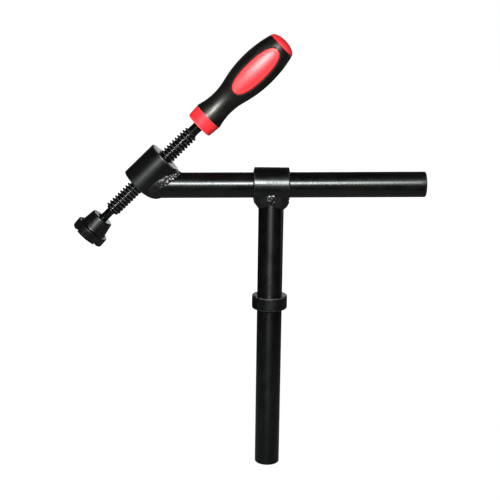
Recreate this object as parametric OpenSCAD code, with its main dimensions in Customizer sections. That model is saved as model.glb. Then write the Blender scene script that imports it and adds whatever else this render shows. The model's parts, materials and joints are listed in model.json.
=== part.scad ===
// Hold-down screw clamp for a welding table with round holes.
// The post drops into a table hole and rests on its collar. The arm slides through
// the sleeve on top of the post. A slanted screw runs in the threaded boss at the
// arm's end and ends in a swivel pad below and in a two-part grip above.
// Sizes are in mm. The origin is on the post's axis, on the underside of the collar.
// +X runs along the arm away from the screw, and +Z points up.

/* [Post and collar] */
// Diameter of the round bar that the post and the arm are cut from
bar_d = 28; // [24:0.5:30]
// Length of the post below the collar
shank_len = 185.9; // [120:0.1:240]
// Bevel on the post's lower rim
shank_bevel = 0.9; // [0.3:0.1:2]
// Height of the arm's axis over the underside of the collar
arm_z = 139.6; // [110:0.1:180]
// Outer diameter of the stop collar
collar_d = 39.5; // [36:0.5:44]
// Height of the stop collar
collar_h = 14.8; // [8:0.1:20]
// Rounding of the collar's rims
collar_round = 1.1; // [0.5:0.1:2]
// How far the post stands out under the collar, for the press fit
seat_rise = 0.25; // [0.2:0.05:0.4]

/* [Sleeve and arm] */
// Outer diameter of the sleeve
sleeve_d = 39; // [36:0.5:44]
// Length of the sleeve along the arm
sleeve_len = 40.4; // [30:0.2:60]
// Gap all round between the arm and the sleeve, which lets the arm hang a little canted
slide_gap = 0.35; // [0.1:0.05:0.5]
// How far each end face of the sleeve falls back towards its rim
sleeve_slope = 1.3; // [0.2:0.1:1.5]
// Reach of the arm from the post's axis to its free end
arm_reach = 169; // [100:1:240]
// Rounding of the arm's free end
arm_round = 1.4; // [0.5:0.1:3]
// Leg of the weld down the post
post_weld_leg = 7.4; // [4:0.1:9]
// Leg of the same weld along the sleeve
sleeve_weld_leg = 5.6; // [3:0.1:7]
// Leg of the other weld along the arm, at the arm's sides
arm_weld_leg = 5.8; // [3:0.1:6]
// Leg of that weld along the boss, at the arm's sides
boss_weld_leg = 5.2; // [3.5:0.1:5.4]

/* [Boss and screw] */
// Distance from the post's axis to the point where the screw crosses the arm's axis
screw_x = 147.4; // [130:0.1:180]
// Angle of the screw over the arm
screw_angle = 43.5; // [40:0.5:50]
// Outer diameter of the threaded boss
boss_d = 40; // [38:0.5:44]
// Length of the threaded boss
boss_len = 43.5; // [43:0.1:50]
// Rounding of the boss's rims
boss_round = 1.2; // [0.4:0.1:2]
// Distance along the screw from the arm's axis to the boss's lower face
boss_start = 1; // [0:0.5:1]
// Outer diameter of the screw thread
thread_d = 17.6; // [16:0.1:18]
// Depth of the screw thread
thread_depth = 2.3; // [1.5:0.1:2.5]
// Travel of the screw in one turn
thread_pitch = 4; // [3:0.5:5]
// Length of the threaded stretch
thread_len = 124; // [110:1:124]
// Distance along the screw from the arm's axis to the thread's lower end
thread_start = -40; // [-44:1:-36]
// Gap all round between the screw and the boss
screw_gap = 0.1; // [0.05:0.05:0.3]
// Diameter of the plain shank above the thread
stem_d = 11.8; // [10:0.1:12]

/* [Swivel pad] */
// Diameter of the pad's flange
pad_d = 38.5; // [34:0.5:42]
// Height of the pad's flange
pad_flange_h = 10.9; // [8:0.1:12]
// Whole height of the pad
pad_h = 27.3; // [26:0.1:30]
// Diameter of the pad's hub at the flange
hub_base_d = 30.4; // [28:0.2:32]
// Diameter of the pad's hub at the top
hub_top_d = 25.2; // [22:0.2:27]
// Height of the ball's centre over the pad's face
ball_h = 14; // [13.5:0.1:14.5]
// Diameter of the ball on the screw's lower end
ball_d = 11.2; // [10.8:0.1:11.4]
// Diameter of the neck above the ball
neck_d = 9.2; // [8.5:0.1:9.4]
// Width of the two grooves across the pad's face
groove_w = 6; // [4:0.5:8]
// Depth of the grooves
groove_depth = 2.8; // [1:0.1:3.5]
// Tilt of the hanging pad against the screw
pad_tilt = 4.5; // [0:0.5:4.5]

/* [Grip] */
// Distance along the screw from the arm's axis to the grip's lower face
grip_start = 94.6; // [94.6:0.2:110]
// Length of the red ring below the soft cover
ferrule_len = 14.6; // [10:0.2:18]
// Diameter of the ring at its lower face
ferrule_low_d = 31.4; // [29:0.2:32.4]
// Diameter of the ring under the cover
ferrule_top_d = 33.4; // [32.6:0.2:34]
// Length of the soft cover
cover_len = 107.8; // [100:0.2:115]
// Distance from the cover's lower edge to the waist
waist_at = 20.8; // [16:0.2:24]
// Diameter at the waist
waist_d = 27.7; // [26:0.1:30]
// Distance from the cover's lower edge to the widest point
belly_at = 72.8; // [66:0.2:78]
// Diameter at the widest point
belly_d = 41.4; // [38:0.2:44]
// Radius of the curve through the waist
waist_curve = 67; // [55:1:80]
// Height of the domed end
dome_h = 7.4; // [5:0.2:9]
// Thickness of the soft cover
cover_wall = 3.2; // [2.5:0.1:4]
// Distance from the cover's lower edge to the middle of the oval windows
window_at = 70.3; // [66:0.1:74]
// Length of the oval windows
window_len = 64; // [50:0.5:68]
// Width of the oval windows
window_w = 24.4; // [18:0.2:28]
// Width of the lower border inside each window
window_border = 2.7; // [1.5:0.1:4]

/* [Hidden] */
$fn = 96;

bar_r = bar_d / 2;
seat_r = bar_r + seat_rise;
sleeve_r = sleeve_d / 2;
sleeve_bore_r = bar_r + slide_gap;
// The arm touches nearly the sleeve's upper edge on one side and its lower edge on the other.
arm_cant = atan((slide_gap - 0.03) / (sleeve_len / 2));
boss_r = boss_d / 2;
// Where the arm's underside meets the boss's lower rim, all is ground off on a flat slope
// that starts on the boss's lower face, this far inside its rim.
ground_in = 4.4;
ground_slope = 18;
thread_r = thread_d / 2;
thread_root_r = thread_r - thread_depth;
thread_end = thread_start + thread_len;
thread_sides = 20;
stem_r = stem_d / 2;
tang_flat = stem_r - 1.2;
tang_start = 20;
tang_end = 88;

// The pad's own frame has its origin in the ball's centre and +Z up its axis.
ball_at = -66;
ball_r = ball_d / 2;
neck_r = neck_d / 2;
seat_gap = 0.2;
socket_r = ball_r + seat_gap;
hub_top = pad_h - ball_h;
flange_top = pad_flange_h - ball_h;

// The ring sits just above the ball's widest line, in a groove that leaves room for the tilt.
wire_r = 0.7;
ring_r = ball_r - 0.05;
ring_at = 3.4;
ring_play = 0.25;
ring_groove_r = ring_r + wire_r + (ring_at + wire_r) * sin(pad_tilt) + ring_play;
ring_groove_half = wire_r + (ring_r + wire_r) * sin(pad_tilt) + ring_play;
ring_opening = 36;

cover_start = grip_start + ferrule_len;
cover_end = cover_start + cover_len;
waist_r = waist_d / 2;
belly_r = belly_d / 2;
waist_t = cover_start + waist_at;
belly_t = cover_start + belly_at;
window_t = cover_start + window_at;
window_power = 2.4;
window_seam = 0.3;
// Two arcs that touch each other make the side of the grip: a hollow one at the waist
// and a full one over the belly. Their radii add up to the distance of their centres.
arc_run = belly_t - waist_t;
arc_rise = belly_r - waist_r;
arc_sum = (arc_run * arc_run + arc_rise * arc_rise) / (2 * arc_rise);
belly_curve = arc_sum - waist_curve;
arc_change = waist_t + arc_run * waist_curve / arc_sum;
profile_steps = 27;
dome_steps = 9;

function unit(v) = v / norm(v);

// Points of an arc of radius r that rounds corner p between its neighbours a and b
function corner(a, p, b, r, steps) =
    r <= 0 ? [p] :
    let (
        u = unit(a - p),
        v = unit(b - p),
        half = acos(u * v) / 2,
        middle = p + unit(u + v) * r / sin(half),
        from = p + u * r / tan(half) - middle,
        side = cross(u, v) > 0 ? -1 : 1,
        sweep = side * (180 - 2 * half)
    )
    [for (i = [0 : steps])
        let (w = sweep * i / steps)
        middle + [from.x * cos(w) - from.y * sin(w), from.x * sin(w) + from.y * cos(w)]];

// An outline of [x, y, radius] corners, with the corners rounded
function rounded(pts, steps = 5) =
    let (n = len(pts))
    [for (i = [0 : n - 1])
        let (
            a = pts[(i + n - 1) % n],
            p = pts[i],
            b = pts[(i + 1) % n]
        )
        each corner([a.x, a.y], [p.x, p.y], [b.x, b.y], p.z, steps)];

// Radius of the grip's outer surface at a distance t along the screw
function grip_r(t) =
    t < arc_change
        ? waist_r + waist_curve - sqrt(waist_curve * waist_curve - pow(t - waist_t, 2))
        : belly_r - belly_curve + sqrt(belly_curve * belly_curve - pow(t - belly_t, 2));

// Outline of an oval window, blunter at its ends than an ellipse
function oval(half_len, half_w, steps = 48) =
    [for (i = [0 : steps - 1])
        let (
            w = 360 * i / steps,
            c = cos(w),
            s = sin(w)
        )
        [half_w * sign(s) * pow(abs(s), 2 / window_power),
         half_len * sign(c) * pow(abs(c), 2 / window_power)]];

// Puts its children on the arm's axis at the post, with +X along the canted arm
module on_arm() {
    translate([0, 0, arm_z]) rotate([0, -arm_cant, 0]) children();
}

// Puts its children on the screw's axis, with +Z up the screw
module on_screw() {
    on_arm() translate([-screw_x, 0, 0]) rotate([0, 90 - screw_angle, 0]) children();
}

// What is ground off below the corner between the boss and the arm
module ground_off() {
    on_screw() translate([boss_r - ground_in, 0, boss_start]) rotate([0, -ground_slope, 0])
        translate([0, -boss_d, -2 * boss_d]) cube(2 * boss_d);
}

// Puts its children in the tilted frame of the pad
module on_pad() {
    on_screw() translate([0, 0, ball_at]) rotate([0, -pad_tilt, 0]) children();
}

module post() {
    color([0.09, 0.09, 0.1]) difference() {
        rotate_extrude() polygon([
            [0, -shank_len],
            [bar_r - shank_bevel, -shank_len],
            [bar_r, -shank_len + shank_bevel],
            [bar_r, 0],
            [seat_r, 0],
            [seat_r, collar_h],
            [bar_r, collar_h],
            [bar_r, arm_z],
            [0, arm_z]
        ]);
        translate([0, 0, arm_z]) rotate([0, 90, 0])
            cylinder(r = sleeve_r, h = 2 * sleeve_d, center = true);
    }
}

module stop_collar() {
    color([0.12, 0.12, 0.13]) rotate_extrude() polygon(rounded([
        [seat_r, 0, 0],
        [collar_d / 2, 0, collar_round],
        [collar_d / 2, collar_h, collar_round],
        [seat_r, collar_h, 0]
    ]));
}

module sleeve() {
    half = sleeve_len / 2;
    color([0.1, 0.1, 0.11]) translate([0, 0, arm_z]) rotate([0, 90, 0])
        rotate_extrude() polygon(rounded([
            [sleeve_bore_r, -half, 0.4],
            [sleeve_r, -half + sleeve_slope, 0.5],
            [sleeve_r, half - sleeve_slope, 0.5],
            [sleeve_bore_r, half, 0.4]
        ], 3));
}

// A size that is v[0] at azimuth 0, v[1] at both flanks and v[2] opposite
function around(v, w) = v[1] * pow(sin(w), 2) + (cos(w) > 0 ? v[0] : v[2]) * pow(cos(w), 2);

// A bead around the foot of a round bar that stands along +Z on a round tube. The tube's
// axis passes through the origin at an angle to +Z. Each section of the bead spans the
// corner between the two skins and reaches a little into both. Its legs on the bar and on
// the tube and its crown change around the bar, with short ripples at the welder's steps.
module saddle_bead(rod_r, tube_r, angle, rod_legs, tube_legs, crowns, ripples) {
    stations = 2 * ripples;
    bury = 0.6;
    axis = [sin(angle), 0, cos(angle)];
    function foot(w) =
        let (y = rod_r * sin(w))
        [rod_r * cos(w), y,
         (rod_r * cos(w) * cos(angle) + sqrt(tube_r * tube_r - y * y)) / sin(angle)];
    function section(i) =
        let (
            w = 360 * i / stations,
            p = foot(w),
            along = unit(foot(w + 1) - foot(w - 1)),
            rod_out = [cos(w), sin(w), 0],
            tube_out = unit(p - axis * (p * axis)),
            lumps = 1 + 0.06 * sin(3 * w + 40) + 0.04 * (i % 2 == 0 ? 1 : -1),
            rod_leg = lumps * around(rod_legs, w),
            tube_leg = lumps * around(tube_legs, w),
            on_rod = cross(rod_out, along) * rod_leg,
            on_tube = cross(along, tube_out) * tube_leg
        )
        [
            p - (rod_out + tube_out) * bury,
            p + on_rod - rod_out * bury,
            p + on_rod * 0.9 + rod_out * 0.1 * rod_leg,
            p + (on_rod + on_tube) * 0.5 + unit(rod_out + tube_out) * around(crowns, w),
            p + on_tube * 0.9 + tube_out * 0.1 * tube_leg,
            p + on_tube - tube_out * bury
        ];
    sides = 6;
    polyhedron(
        points = [for (i = [0 : stations - 1]) each section(i)],
        faces = [for (i = [0 : stations - 1]) for (k = [0 : sides - 1])
            let (
                j = (i + 1) % stations,
                m = (k + 1) % sides
            )
            each [[i * sides + k, i * sides + m, j * sides + m],
                  [i * sides + k, j * sides + m, j * sides + k]]],
        convexity = 6
    );
}

module post_weld() {
    color([0.16, 0.16, 0.17]) translate([0, 0, arm_z]) rotate([0, 180, 0])
        saddle_bead(bar_r, sleeve_r, 90, post_weld_leg * [0.94, 1, 1.06],
            sleeve_weld_leg * [0.94, 1, 1.06], [0.1, 0.7, 1.3], 34);
}

module arm_bar() {
    begin = 5;
    color([0.09, 0.09, 0.1]) difference() {
        on_arm() translate([-screw_x + begin, 0, 0]) rotate([0, 90, 0])
            rotate_extrude() polygon(rounded([
                [0, 0, 0],
                [bar_r, 0, 0],
                [bar_r, arm_reach + screw_x - begin, arm_round],
                [0, arm_reach + screw_x - begin, 0]
            ]));
        on_screw() cylinder(r = boss_r, h = 3 * boss_len, center = true);
        ground_off();
    }
}

module threaded_boss() {
    bore_r = thread_r + screw_gap;
    color([0.12, 0.12, 0.13]) difference() {
        on_screw() translate([0, 0, boss_start]) rotate_extrude() polygon(rounded([
            [bore_r, 1, 0],
            [bore_r + 1, 0, 0],
            [boss_r, 0, boss_round],
            [boss_r, boss_len, boss_round],
            [bore_r + 1, boss_len, 0],
            [bore_r, boss_len - 1, 0]
        ]));
        ground_off();
    }
}

module arm_weld() {
    color([0.18, 0.18, 0.19]) difference() {
        on_arm() translate([-screw_x, 0, 0]) rotate([0, 90, 0]) rotate([0, 0, 180])
            saddle_bead(bar_r, boss_r, screw_angle, arm_weld_leg * [0.8, 1, 1.3],
                boss_weld_leg * [0.54, 1, 0.5], [0, 0.5, 0.4], 36);
        ground_off();
    }
}

module snap_ring() {
    color([0.55, 0.56, 0.58]) on_screw() translate([0, 0, ball_at + ring_at])
        rotate([0, 0, ring_opening / 2])
            rotate_extrude(angle = 360 - ring_opening) translate([ring_r, 0]) circle(r = wire_r);
}

// A right-hand trapezoidal thread from z = 0 to z = length, bevelled at both ends. Columns
// of corner points climb with the helix, four corners to a pitch. In each column the
// corner nearest to an end is moved onto the end's plane, and a flat fan closes it. The
// last column joins the first one pitch higher.
module thread(length) {
    corners = 4;
    along = [0, 0.3, 0.5, 0.8];
    out = [thread_r, thread_r, thread_root_r, thread_root_r];
    low = -2 * thread_pitch;
    function corner_z(i, k) =
        low + thread_pitch * (floor(k / corners) + along[k % corners] + i / thread_sides);
    function nearest(i, z) =
        let (
            turns = (z - low) / thread_pitch - i / thread_sides,
            part = turns - floor(turns)
        )
        corners * floor(turns)
            + (part < 0.15 ? 0 : part < 0.4 ? 1 : part < 0.65 ? 2 : part < 0.9 ? 3 : 4);
    first = [for (i = [0 : thread_sides]) nearest(i, 0)];
    last = [for (i = [0 : thread_sides]) nearest(i, length)];
    before = [for (i = 0, n = 0; i <= thread_sides; n = n + last[i] - first[i] + 1, i = i + 1) n];
    bottom = before[thread_sides];
    function id(i, k) = i < thread_sides ? before[i] + k - first[i] : id(0, k + corners);
    function corner_at(i, k) =
        let (
            w = 360 * i / thread_sides,
            z = k == first[i] ? 0 : k == last[i] ? length : corner_z(i, k),
            r = min(out[k % corners], thread_root_r + min(z, length - z))
        )
        [r * cos(w), r * sin(w), z];
    polyhedron(
        points = concat(
            [for (i = [0 : thread_sides - 1]) for (k = [first[i] : last[i]]) corner_at(i, k)],
            [[0, 0, 0], [0, 0, length]]
        ),
        faces = [for (i = [0 : thread_sides - 1])
            let (
                j = i + 1,
                high = min(last[i], last[j])
            )
            each concat(
                [for (k = [first[i] : high - 1])
                    each [[id(i, k), id(i, k + 1), id(j, k + 1)],
                          [id(i, k), id(j, k + 1), id(j, k)]]],
                first[j] < first[i] ? [[id(i, first[i]), id(j, first[i]), id(j, first[j])]] : [],
                last[j] < last[i] ? [[id(i, last[j]), id(i, last[i]), id(j, last[j])]] : [],
                [[bottom, id(i, first[i]), id(j, first[j])],
                 [bottom + 1, id(j, last[j]), id(i, last[i])]]
            )],
        convexity = 10
    );
}

module spindle() {
    color([0.08, 0.08, 0.09]) on_screw() union() {
        translate([0, 0, ball_at]) sphere(r = ball_r);
        translate([0, 0, ball_at]) cylinder(r = neck_r, h = thread_start - ball_at + 1);
        translate([0, 0, thread_start]) thread(thread_len);
        translate([0, 0, thread_end - 1])
            cylinder(r = stem_r, h = grip_start + tang_start - thread_end + 1);
        translate([0, 0, grip_start]) tang();
    }
}

// The stem's upper end, with two flats that keep the grip from turning on it
module tang() {
    intersection() {
        translate([0, 0, tang_start]) cylinder(r = stem_r, h = tang_end - tang_start);
        translate([-stem_r, -tang_flat, tang_start])
            cube([2 * stem_r, 2 * tang_flat, tang_end - tang_start]);
    }
}

// Outline of the grip from the cover's lower edge up, a given depth under the skin
function grip_side(depth) =
    [for (i = [0 : profile_steps])
        let (t = cover_start + cover_len * i / profile_steps)
        [grip_r(t) - depth, t]];

// The two oval panels that fill the cover's windows, a given depth under the skin
module window_panels(inset, depth) {
    intersection() {
        translate([0, 0, window_t]) rotate([90, 0, 0])
            linear_extrude(height = 2 * belly_d, center = true)
                polygon(oval(window_len / 2 - inset, window_w / 2 - inset));
        rotate_extrude() polygon(concat(
            [[waist_r - 2 * cover_wall, cover_start]],
            grip_side(depth),
            [[waist_r - 2 * cover_wall, cover_end]]
        ));
    }
}

// One hard moulding shows as the ring, as the panels in the windows and as the domed end.
module grip_core() {
    ferrule_r = ferrule_top_d / 2;
    dome_r = grip_r(cover_end) - 0.2;
    color([0.86, 0.06, 0.08]) on_screw() union() {
        difference() {
            rotate_extrude() polygon(concat(
                [[0, grip_start]],
                corner([0, grip_start], [ferrule_low_d / 2, grip_start],
                    [ferrule_r, cover_start], 2, 5),
                [[ferrule_r, cover_start]],
                grip_side(cover_wall),
                [for (i = [0 : dome_steps])
                    let (w = 90 * i / dome_steps)
                    [dome_r * cos(w), cover_end + dome_h * sin(w)]]
            ));
            translate([0, 0, grip_start - 1]) cylinder(r = stem_r, h = tang_start + 1);
            translate([0, 0, grip_start]) tang();
        }
        window_panels(0, 0.9);
        window_panels(window_border, 0.15);
    }
}

module grip_cover() {
    color([0.11, 0.11, 0.11]) on_screw() difference() {
        rotate_extrude() polygon(concat(
            [for (i = [0 : profile_steps])
                let (t = cover_end - cover_len * i / profile_steps)
                [grip_r(t) - cover_wall, t]],
            grip_side(0)
        ));
        translate([0, 0, window_t]) rotate([90, 0, 0])
            linear_extrude(height = 2 * belly_d, center = true)
                polygon(oval(window_len / 2 + window_seam, window_w / 2 + window_seam));
    }
}

module swivel_pad() {
    mouth = 0.8;
    color([0.15, 0.15, 0.14]) on_pad() difference() {
        rotate_extrude() polygon(rounded([
            [0, -ball_h, 0],
            [pad_d / 2, -ball_h, 1.4],
            [pad_d / 2, flange_top, 1.3],
            [hub_base_d / 2, flange_top, 1.6],
            [hub_top_d / 2, hub_top, 1.8],
            [0, hub_top, 0]
        ]));
        sphere(r = socket_r);
        cylinder(r = socket_r, h = hub_top + 1);
        translate([0, 0, hub_top - mouth])
            cylinder(r1 = socket_r, r2 = socket_r + mouth + 0.2, h = mouth + 0.2);
        translate([0, 0, ring_at - ring_groove_half])
            cylinder(r = ring_groove_r, h = 2 * ring_groove_half);
        for (turn = [45, 135])
            rotate([0, 0, turn]) translate([-pad_d, -groove_w / 2, -ball_h - 1])
                cube([2 * pad_d, groove_w, groove_depth + 1]);
    }
}

post();
stop_collar();
sleeve();
post_weld();
arm_bar();
threaded_boss();
arm_weld();
snap_ring();
spindle();
grip_core();
grip_cover();
swivel_pad();
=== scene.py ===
# Screw clamp for a welding table: black steel bars, slanted screw, red and black grip
import json
import math

import bmesh
import bpy
import numpy as np
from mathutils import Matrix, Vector


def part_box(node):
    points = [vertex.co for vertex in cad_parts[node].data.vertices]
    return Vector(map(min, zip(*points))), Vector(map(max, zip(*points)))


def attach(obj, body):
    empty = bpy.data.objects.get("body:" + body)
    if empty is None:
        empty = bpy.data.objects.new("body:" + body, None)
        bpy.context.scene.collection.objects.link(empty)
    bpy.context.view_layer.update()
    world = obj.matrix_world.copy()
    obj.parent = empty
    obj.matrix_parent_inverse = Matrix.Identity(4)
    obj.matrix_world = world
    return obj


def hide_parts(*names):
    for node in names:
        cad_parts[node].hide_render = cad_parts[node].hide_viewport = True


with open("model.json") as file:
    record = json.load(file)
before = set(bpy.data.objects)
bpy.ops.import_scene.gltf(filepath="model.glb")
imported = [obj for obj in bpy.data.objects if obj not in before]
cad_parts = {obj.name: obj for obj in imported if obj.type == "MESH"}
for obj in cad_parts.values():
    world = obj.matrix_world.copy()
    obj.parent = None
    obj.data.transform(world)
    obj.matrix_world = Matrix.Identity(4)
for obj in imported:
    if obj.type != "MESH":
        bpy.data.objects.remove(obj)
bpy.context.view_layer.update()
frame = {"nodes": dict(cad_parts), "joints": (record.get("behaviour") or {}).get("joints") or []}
print("stage: frame loaded")

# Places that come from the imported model. Lengths are in metres, as in the frame.
mm = 0.001
quarter = math.pi / 2
joints = {joint["name"]: joint for joint in frame["joints"]}
armDir = np.array(joints["arm_slide"]["axis"])
screwDir = np.array(joints["screw_feed"]["axis"])
ballCentre = np.array(joints["pad_tilt"]["pos_m"])
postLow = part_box("post")[0]
sleeveLow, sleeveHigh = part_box("sleeve")
armLow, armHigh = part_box("arm_bar")
collarLow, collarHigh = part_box("stop_collar")
barRadius = (armHigh.y - armLow.y) / 2
armHeight = (sleeveLow.z + sleeveHigh.z) / 2
sleeveRadius = (sleeveHigh.z - sleeveLow.z) / 2
# Slopes of the arm and of the screw against the level, and the angle between the two
armSlope = math.atan2(armDir[2], armDir[0])
screwSlope = math.atan2(screwDir[2], screwDir[0])
screwAngle = screwSlope - armSlope
# Turns about y that lay the length of a piece on z, for the patterns on it
armTurn = armSlope - quarter
screwTurn = screwSlope - quarter
sleeveTurn = -quarter
# The screw's line crosses the arm's line this far above the ball's centre
ballReach = 66 * mm
crossing = ballCentre + screwDir * ballReach


# Frames: each has an origin and three axes, and a piece is worked out in its own frame first
def axisFrame(origin, zDir, yDir=(0, 1, 0)):
    # z is the given line, x is square to it and to yDir, and y is square to both
    z = np.asarray(zDir, float) / np.linalg.norm(zDir)
    x = np.cross(yDir, z)
    x /= np.linalg.norm(x)
    return np.asarray(origin, float), np.array([x, np.cross(z, x), z])


def place(points, axes):
    # each coordinate times its axis, summed, plus the origin
    return np.asarray(points) @ axes[1] + axes[0]


postFrame = axisFrame((0, 0, 0), (0, 0, 1))
hangingFrame = axisFrame((0, 0, armHeight), (0, 0, -1))
armFrame = axisFrame(crossing, armDir, (0, -1, 0))
sleeveFrame = axisFrame((0, 0, armHeight), (1, 0, 0))
screwFrame = axisFrame(crossing, screwDir)


# Grids and meshes: points round a turned piece, steps of a rounded corner, and the gap within which
# points are merged
sides = 128
cornerSteps = 6
mergeGap = 0.002 * mm


def gridFaces(rows, columns, start=0, closeRows=False, closeColumns=True):
    # four corners for each cell of a rows by columns grid of points
    index = np.arange(rows * columns).reshape(rows, columns) + start
    if closeRows:
        index = np.vstack([index, index[:1]])
    if closeColumns:
        index = np.hstack([index, index[:, :1]])
    return np.stack([index[:-1, :-1], index[:-1, 1:], index[1:, 1:], index[1:, :-1]], -1).reshape(-1, 4)


def joinGrids(grids):
    # each grid is a dictionary with its points and which ways it closes, plus any loose faces
    points, faces, wearAndPaintedLight, start = [], [], [], 0
    for grid in grids:
        rows, columns = grid["points"].shape[:2]
        found = gridFaces(rows, columns, start, grid.get("closeRows", False), grid.get("closeColumns", True))
        if "keep" in grid:
            found = found[grid["keep"].reshape(-1)]
        faces.append(found)
        if "loose" in grid:
            faces.append(grid["loose"] + start)
        points.append(grid["points"].reshape(-1, 3))
        wearAndPaintedLight.append(np.broadcast_to(grid.get("wearAndPaintedLight", np.zeros((rows, 1))), (rows, columns)).reshape(-1))
        start += rows * columns
    return np.concatenate(points), np.concatenate(faces), np.concatenate(wearAndPaintedLight)


def addPiece(name, grids, axes, body, material, node, sharpAngle=38):
    points, faces, wearAndPaintedLight = joinGrids(grids)
    mesh = bpy.data.meshes.new(name)
    mesh.from_pydata(place(points, axes), [], faces)
    mesh.attributes.new("wearAndPaintedLight", "FLOAT", "POINT").data.foreach_set("value", wearAndPaintedLight.astype(np.float32))
    shell = bmesh.new()
    shell.from_mesh(mesh)
    bmesh.ops.remove_doubles(shell, verts=shell.verts, dist=mergeGap)
    bmesh.ops.dissolve_degenerate(shell, edges=shell.edges, dist=mergeGap)
    bmesh.ops.recalc_face_normals(shell, faces=shell.faces)
    shell.to_mesh(mesh)
    shell.free()
    mesh.polygons.foreach_set("use_smooth", np.ones(len(mesh.polygons), bool))
    mesh.set_sharp_from_angle(angle=math.radians(sharpAngle))
    mesh.update()
    piece = bpy.data.objects.new(name, mesh)
    bpy.context.scene.collection.objects.link(piece)
    mesh.materials.append(material)
    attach(piece, body)
    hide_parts(node)


def outline(corners):
    # a line through (radius, height, rounding) corners; each rounding is an arc that touches both sides
    corners = [np.array(corner, float) for corner in corners]
    line, wearAndPaintedLight = [corners[0][:2]], [0.0]
    for before, here, after in zip(corners, corners[1:], corners[2:]):
        if here[2] <= 0:
            line.append(here[:2])
            wearAndPaintedLight.append(0.0)
            continue
        u = (before - here)[:2] / np.linalg.norm((before - here)[:2])
        v = (after - here)[:2] / np.linalg.norm((after - here)[:2])
        half = math.acos(np.clip(u @ v, -1, 1)) / 2
        middle = here[:2] + (u + v) / np.linalg.norm(u + v) * here[2] / math.sin(half)
        reach = here[2] / math.tan(half)
        first, last = here[:2] + u * reach - middle, here[:2] + v * reach - middle
        share = np.linspace(0, 1, cornerSteps + 1)[:, None]
        turn = math.pi - 2 * half
        arc = (first * np.sin((1 - share) * turn) + last * np.sin(share * turn)) / math.sin(turn)
        line.extend(middle + arc)
        wearAndPaintedLight.extend(np.sin(math.pi * share[:, 0]))
    line.append(corners[-1][:2])
    wearAndPaintedLight.append(0.0)
    return np.array(line), np.array(wearAndPaintedLight)


def denser(line, wearAndPaintedLight, longest):
    # adds points on long straight stretches, so that each row is no taller than the longest step
    gaps = np.linalg.norm(np.diff(line, axis=0), axis=1)
    counts = np.maximum(1, np.ceil(gaps / longest).astype(int))
    shares = np.concatenate([i + np.arange(n) / n for i, n in enumerate(counts)] + [[len(line) - 1]])
    base = np.arange(len(line))
    return np.stack([np.interp(shares, base, line[:, k]) for k in (0, 1)], 1), np.interp(shares, base, wearAndPaintedLight)


def turned(line, wearAndPaintedLight=None, count=sides, closed=False):
    # the line turned about the z axis: x = radius cos w, y = radius sin w, z = height
    w = np.arange(count) / count * 2 * math.pi
    radius, height = line[:, :1], line[:, 1:]
    points = np.stack([radius * np.cos(w), radius * np.sin(w), height + 0 * w], -1)
    grid = {"points": points, "closeRows": closed}
    if wearAndPaintedLight is not None:
        grid["wearAndPaintedLight"] = wearAndPaintedLight[:, None]
    return grid


def upright(radius, low, high, count):
    # a straight line up at one radius
    return np.stack([np.full(count, radius), np.linspace(low, high, count)], 1)


def saddle(radius, w, tubeRadius, angle):
    # height at which a bar of this radius, standing on z, leaves a tube that crosses it at an angle
    return (radius * np.cos(w) * math.cos(angle)
            + np.sqrt(tubeRadius ** 2 - (radius * np.sin(w)) ** 2)) / math.sin(angle)


# Rows of points on a bar's foot, side, bevel and flat end
barRows = {"foot": 9, "side": 40, "bevel": 7, "end": 6}


def copedBar(radius, length, tubeRadius, angle, bevel):
    # a round bar along +z whose lower end is cut to the tube it stands on and whose upper end is bevelled
    w = np.arange(sides) / sides * 2 * math.pi
    inner = np.linspace(0, 1, barRows["foot"])[:, None] * radius
    foot = np.broadcast_to(saddle(inner, w, tubeRadius, angle), (barRows["foot"], sides))
    capPoints = np.stack([inner * np.cos(w), inner * np.sin(w), foot], -1)
    share = np.linspace(0, 1, barRows["side"])[1:, None]
    height = foot[-1] * (1 - share) + (length - bevel) * share
    side = np.stack([radius * np.cos(w) + 0 * height, radius * np.sin(w) + 0 * height, height], -1)
    bend = np.linspace(0, quarter, barRows["bevel"])[1:, None]
    rimRadius = radius - bevel * (1 - np.cos(bend))
    rim = np.stack([rimRadius * np.cos(w), rimRadius * np.sin(w),
                    length - bevel * (1 - np.sin(bend)) + 0 * w], -1)
    inward = np.linspace(1, 0, barRows["end"])[1:, None] * (radius - bevel)
    face = np.stack([inward * np.cos(w), inward * np.sin(w), length + 0 * inward + 0 * w], -1)
    points = np.concatenate([capPoints, side, rim, face])
    wearAndPaintedLight = np.zeros(len(points))
    wearAndPaintedLight[len(capPoints) + len(side):-len(face)] = np.sin(2 * bend[:, 0])
    return {"points": points, "wearAndPaintedLight": wearAndPaintedLight[:, None]}


# Shaders: a wire is a socket that takes part in sums
class Wire:
    def __init__(self, maker, socket):
        self.maker = maker
        self.socket = socket

    def math(self, operation, *values):
        return self.maker.node("ShaderNodeMath", {"operation": operation}, dict(enumerate(values)))

    def __add__(self, other):
        return self.math("ADD", self, other)

    def __sub__(self, other):
        return self.math("SUBTRACT", self, other)

    def __rsub__(self, other):
        return self.math("SUBTRACT", other, self)

    def __mul__(self, other):
        return self.math("MULTIPLY", self, other)

    __radd__ = __add__
    __rmul__ = __mul__

    def within(self, low, high):
        # 0 at low, 1 at high, smooth between
        return self.maker.node("ShaderNodeMapRange", {"interpolation_type": "SMOOTHSTEP"},
                               {"Value": self, "From Min": low, "From Max": high})


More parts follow.
